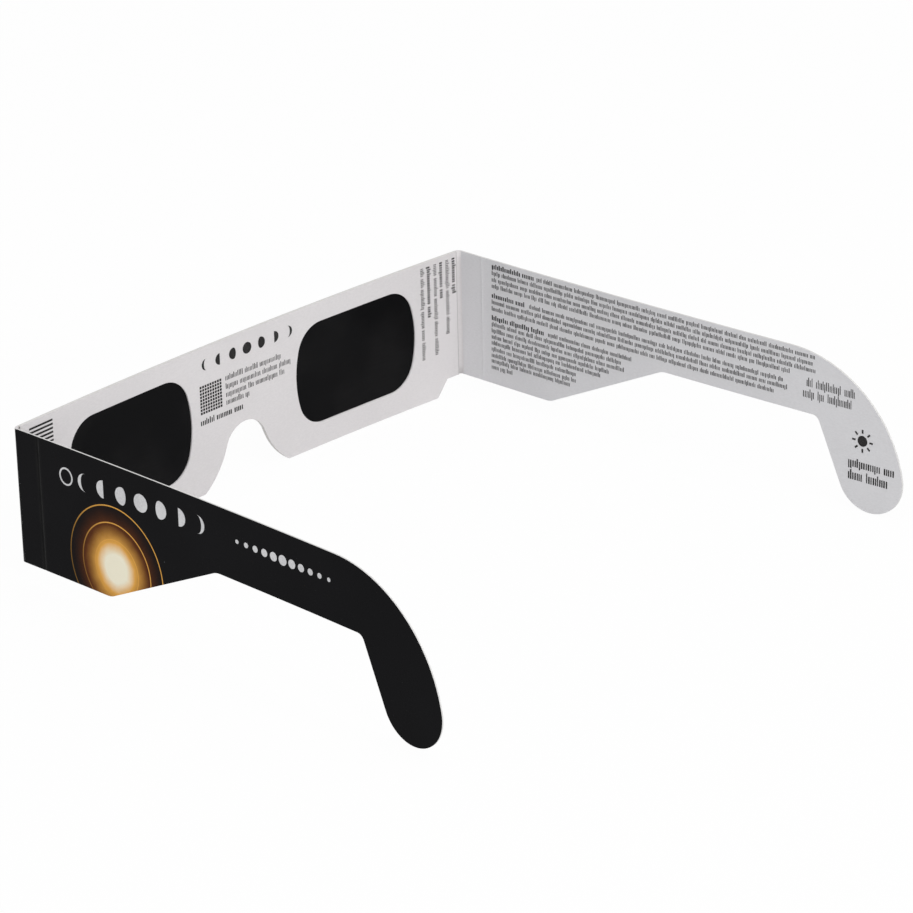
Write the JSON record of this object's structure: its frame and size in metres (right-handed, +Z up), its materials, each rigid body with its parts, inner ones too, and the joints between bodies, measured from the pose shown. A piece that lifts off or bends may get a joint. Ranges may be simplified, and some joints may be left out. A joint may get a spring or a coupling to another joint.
{
  "type": "eclipse glasses",
  "caption": "Folded paperboard viewing glasses: a bowed front with dark solar film in its windows, a nose notch, and creased hook-ended temples that fold flat.",
  "frame": {"origin": "on the outer face of the front, at the middle of the nose notch's mouth, level with the bottom edge of the front and the tips of the hooks", "axes": "+X towards the wearer's left, -Y the way the wearer looks, +Z up"},
  "size_m": [0.1594, 0.1391, 0.0375],
  "materials": {
    "printed_board": "gloss",
    "white_lining": "matte",
    "glue": "satin",
    "solar_film": "gloss"
  },
  "bodies": {
    "front": {"front_board": "printed_board", "front_lining": "white_lining", "glue_layer": "glue", "left_filter_film": "solar_film", "right_filter_film": "solar_film", "left_fold": "printed_board", "right_fold": "printed_board"},
    "left_temple": {"left_temple": "printed_board"},
    "right_temple": {"right_temple": "printed_board"}
  },
  "joints": [
    {"name": "left_temple_fold", "type": "hinge", "parent": "front", "child": "left_temple", "pos_m": [0.0735, 0.004, 0.0209], "axis": [0, 0, 1], "range_deg": [-86.1, 92.5], "deforming": ["left_fold"]},
    {"name": "right_temple_fold", "type": "hinge", "parent": "front", "child": "right_temple", "pos_m": [-0.0735, 0.004, 0.0209], "axis": [0, 0, -1], "range_deg": [-86.1, 90], "deforming": ["right_fold"]}
  ]
}
